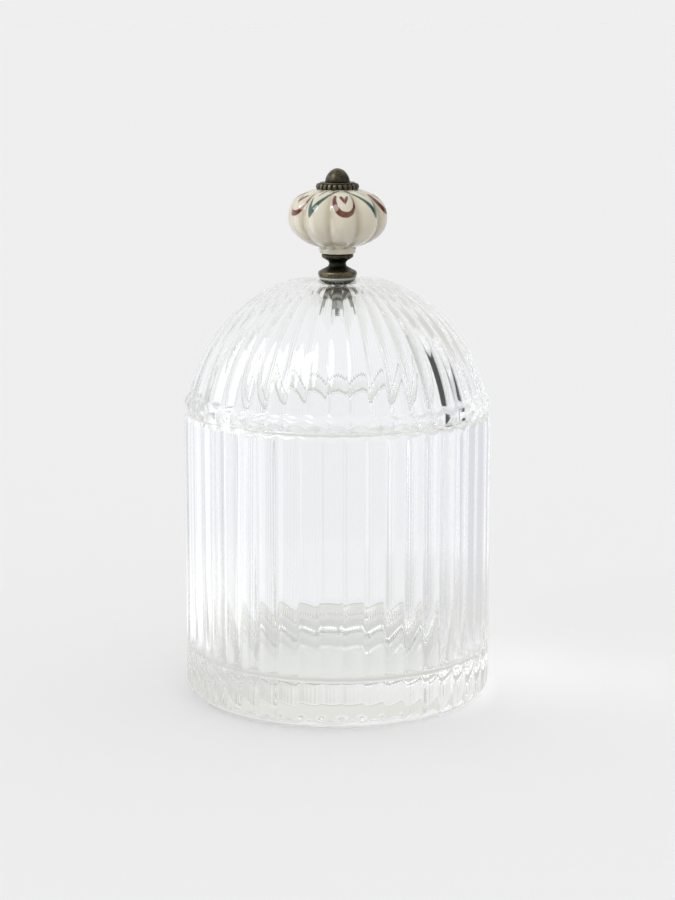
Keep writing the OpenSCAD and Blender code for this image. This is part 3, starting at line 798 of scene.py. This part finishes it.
class JAR_OT_stage(bpy.types.Operator):
    """Set up the floor, the soft light and the camera"""
    bl_idname = "jar.stage"
    bl_label = "Stage"

    # What glass and metal see, as stops of (bearing, colour): the room near the table and higher up, with
    # white windows to the left, a dark upright strip to the right and a dim side behind the camera.
    LOW_ROOM = [
        (0.0, 0.5), (0.2, 0.5), (0.24, 1.25), (0.38, 1.15), (0.42, 0.9), (0.5, 0.86), (0.54, "#E2E2DD"),
        (0.6, "#DDDDDA"), (0.668, "#DAD8E0"), (0.676, 0.03), (0.714, 0.03), (0.724, 0.75), (0.82, 0.5),
        (1.0, 0.5)]
    HIGH_ROOM = [
        (0.0, 0.55), (0.2, 0.55), (0.24, 1.2), (0.36, 1.1), (0.41, 0.85), (0.5, "#EAEAE6"), (0.54, "#DCDAD5"),
        (0.645, "#D2D1CC"), (0.66, "#D8D7D6"), (0.67, 0.03), (0.712, 0.03), (0.722, 0.75), (0.82, 0.5),
        (1.0, 0.55)]
    # Heights of a direction, 0 being level and 1 overhead, between which the low room turns into the high
    # one, and that into the ceiling.
    HIGHER, OVERHEAD = (0.08, 0.26), (0.5, 0.85)
    CEILING, LIGHT_ON_MATT = "#E6E6E4", "#E0E0E0"
    # The table as glass and metal see it, in the same kind of stops: far from the jar and near it. This is
    # painted light: a bright painted pool of window light to the left, and painted shade to the right and
    # towards the camera.
    FAR_TABLE_PAINTED_LIGHT = [
        (0.0, 0.5), (0.16, 0.5), (0.18, (1.9, 2.0, 2.05, 1)), (0.28, (1.9, 2.0, 2.05, 1)), (0.29, 0.7),
        (0.315, 0.75), (0.33, "#FAFDFF"), (0.37, "#FAFDFF"), (0.4, "#F5F5F8"), (0.54, "#F6F5F7"),
        (0.57, "#EAE8EB"), (0.6, "#DEDDE3"), (0.75, "#D8D7DE"), (0.8, 0.5), (1.0, 0.5)]
    NEAR_TABLE_PAINTED_LIGHT = [
        (0.0, 0.5), (0.16, 0.5), (0.18, 1.8), (0.28, 1.8), (0.29, 0.6), (0.31, 0.6), (0.325, 1.3),
        (0.372, 1.25), (0.383, 0.92), (0.42, "#F8F7F9"), (0.54, "#F8F6F8"), (0.57, "#EAE9E9"),
        (0.6, "#DFDEDE"), (0.75, "#D8D8D6"), (0.8, 0.5), (1.0, 0.5)]
    # The table under the jar, by distance from the axis as a share of UNDER_REACH in metres: painted shade
    # under the jar, in pale rings with grey ones between, which the thick base shows as arches. The grey ring
    # at 50 to 56 mm is a painted contact shadow under the ring the jar stands on, and a thin grey ring lies at
    # 96 to 99 mm.
    UNDER_REACH = 0.12
    UNDER_JAR_PAINTED_SHADE = [
        (0.0, "#E8E8E4"), (0.358, "#E6E6E2"), (0.417, "#D2D1CC"), (0.467, "#D2D1CC"), (0.533, "#E2E2DE"),
        (0.6, "#E4E3DD"), (0.783, "#E4E3DE"), (0.8, "#CFCDC6"), (0.822, "#CFCDC6"), (0.838, "#F4F3F6")]
    # Distances in metres between which the table under the jar turns into the near one, and that into the
    # far one.
    NEARBY, FAR_OFF = (0.11, 0.15), (0.18, 0.34)
    BOUNCES = 32

    def execute(self, context):
        look = context.scene.jar_stage
        scene = context.scene
        scene.view_settings.view_transform = "Standard"
        # Light has to bend and bounce often before it finds its way out of thick reeded glass.
        scene.cycles.max_bounces = self.BOUNCES
        scene.cycles.glossy_bounces = scene.cycles.transmission_bounces = self.BOUNCES
        self.world(scene, look)
        self.floor(look)
        lamp("key window", "SUN", 1.12, (-1.1, -0.7, 1.3), (0, 0, 0), angle=math.radians(34))
        # The pane gives the glaze and the metal their glints, and is hidden from matt surfaces and bent rays.
        pane = lamp("window pane", "AREA", 0.6, (-0.94, -0.15, 0.92), (0, 0, 0.18), shape="RECTANGLE",
                    size=0.09, size_y=0.17)
        pane.visible_diffuse = pane.visible_transmission = False
        data = bpy.data.cameras.new("photo view")
        data.sensor_width, data.lens = 36, look.lens
        camera = bpy.data.objects.new("photo view", data)
        camera.location = (0, -look.distance, look.height)
        camera.rotation_euler = (math.pi / 2 - look.pitch, 0, 0)
        scene.collection.objects.link(camera)
        scene.camera = camera
        return {"FINISHED"}

    def world(self, scene, look):
        """Soft daylight: the backdrop's own grey to the camera, an even light to matt surfaces, and a pale
        room of its own to the rays that glass and metal bend or mirror."""
        world = bpy.data.worlds.new("soft room")
        world.use_nodes = True
        tree = world.node_tree
        tree.nodes.clear()
        turned, height = bearing(tree, node(tree, "ShaderNodeTexCoord").outputs["Generated"])
        room = blend(tree, remap(tree, height, *self.HIGHER), ramp(tree, turned, self.LOW_ROOM),
                     ramp(tree, turned, self.HIGH_ROOM))
        room = blend(tree, remap(tree, height, *self.OVERHEAD), room, linear(self.CEILING))
        ray = node(tree, "ShaderNodeLightPath").outputs
        light = blend(tree, bent_or_mirrored(tree, ray), linear(self.LIGHT_ON_MATT), room)
        tone = blend(tree, ray["Is Camera Ray"], light, look.backdrop)
        back = node(tree, "ShaderNodeBackground", {"Color": tone}, Strength=1.0)
        node(tree, "ShaderNodeOutputWorld", {"Surface": back.outputs[0]})
        scene.world = world

    def floor(self, look):
        """A wide pale table of paper, matt and in the backdrop's colour, which takes the shadow. The rays that
        glass and metal bend or mirror find it lit by painted light instead: it emits a painted pool of window
        light and painted shade, by bearing and by distance."""
        mesh = bpy.data.meshes.new("table")
        side = 90
        mesh.from_pydata([(-side, -side, 0), (side, -side, 0), (side, side, 0), (-side, side, 0)], [],
                         [(0, 1, 2, 3)])
        table = bpy.data.objects.new("table", mesh)
        bpy.context.scene.collection.objects.link(table)
        material, tree = new_material("paper with painted light")
        paper = node(tree, "ShaderNodeBsdfDiffuse", Color=look.backdrop)
        place = node(tree, "ShaderNodeTexCoord").outputs["Object"]
        turned, _ = bearing(tree, place)
        away = node(tree, "ShaderNodeVectorMath", {0: place}, operation="LENGTH").outputs["Value"]
        # Painted light that only bent and mirrored rays see, though the table is no lamp: a painted pool of
        # window light to the left, painted shade to the right and in front.
        painted_table_light = blend(tree, remap(tree, away, *self.FAR_OFF), ramp(tree, turned, self.NEAR_TABLE_PAINTED_LIGHT),
                       ramp(tree, turned, self.FAR_TABLE_PAINTED_LIGHT))
        # Painted shade under the jar, with a painted contact shadow under its foot.
        under = ramp(tree, remap(tree, away, 0.0, self.UNDER_REACH), self.UNDER_JAR_PAINTED_SHADE)
        tone = blend(tree, remap(tree, away, *self.NEARBY), under, painted_table_light)
        painted_light_glow = node(tree, "ShaderNodeEmission", {"Color": tone}, Strength=1.0)
        seen = bent_or_mirrored(tree, node(tree, "ShaderNodeLightPath").outputs)
        show(tree, node(tree, "ShaderNodeMixShader", {0: seen, 1: paper.outputs[0], 2: painted_light_glow.outputs[0]}))
        mesh.materials.append(material)


class JAR_PT_panel(bpy.types.Panel):
    """The jar's pieces, each with a button"""
    bl_idname = "JAR_PT_panel"
    bl_label = "Reeded Glass Jar"
    bl_space_type = "VIEW_3D"
    bl_region_type = "UI"
    bl_category = "Jar"

    def draw(self, context):
        for group, operators in (
                ("jar_glass", ("jar.body", "jar.lid")), ("jar_knob", ("jar.knob",)),
                ("jar_metal", ("jar.metal", "jar.fasteners")), ("jar_stage", ("jar.stage",))):
            box = self.layout.box()
            for operator in operators:
                box.operator(operator)
            settings = getattr(context.scene, group)
            for key in settings.__class__.__annotations__:
                box.prop(settings, key)


CLASSES = (GlassSizes, KnobSizes, MetalSizes, StageLook, JAR_OT_stage, JAR_OT_body, JAR_OT_lid, JAR_OT_knob,
           JAR_OT_metal, JAR_OT_fasteners, JAR_PT_panel)
GROUPS = {"jar_glass": GlassSizes, "jar_knob": KnobSizes, "jar_metal": MetalSizes, "jar_stage": StageLook}


def register():
    for kind in CLASSES:
        bpy.utils.register_class(kind)
    for name, kind in GROUPS.items():
        setattr(bpy.types.Scene, name, bpy.props.PointerProperty(type=kind))


def unregister():
    for name in GROUPS:
        delattr(bpy.types.Scene, name)
    for kind in reversed(CLASSES):
        bpy.utils.unregister_class(kind)


def main():
    """Builds every piece in order."""
    register()
    bpy.ops.jar.stage()
    bpy.ops.jar.body()
    bpy.ops.jar.lid()
    bpy.ops.jar.knob()
    bpy.ops.jar.metal()
    bpy.ops.jar.fasteners()


if __name__ == "__main__":
    main()
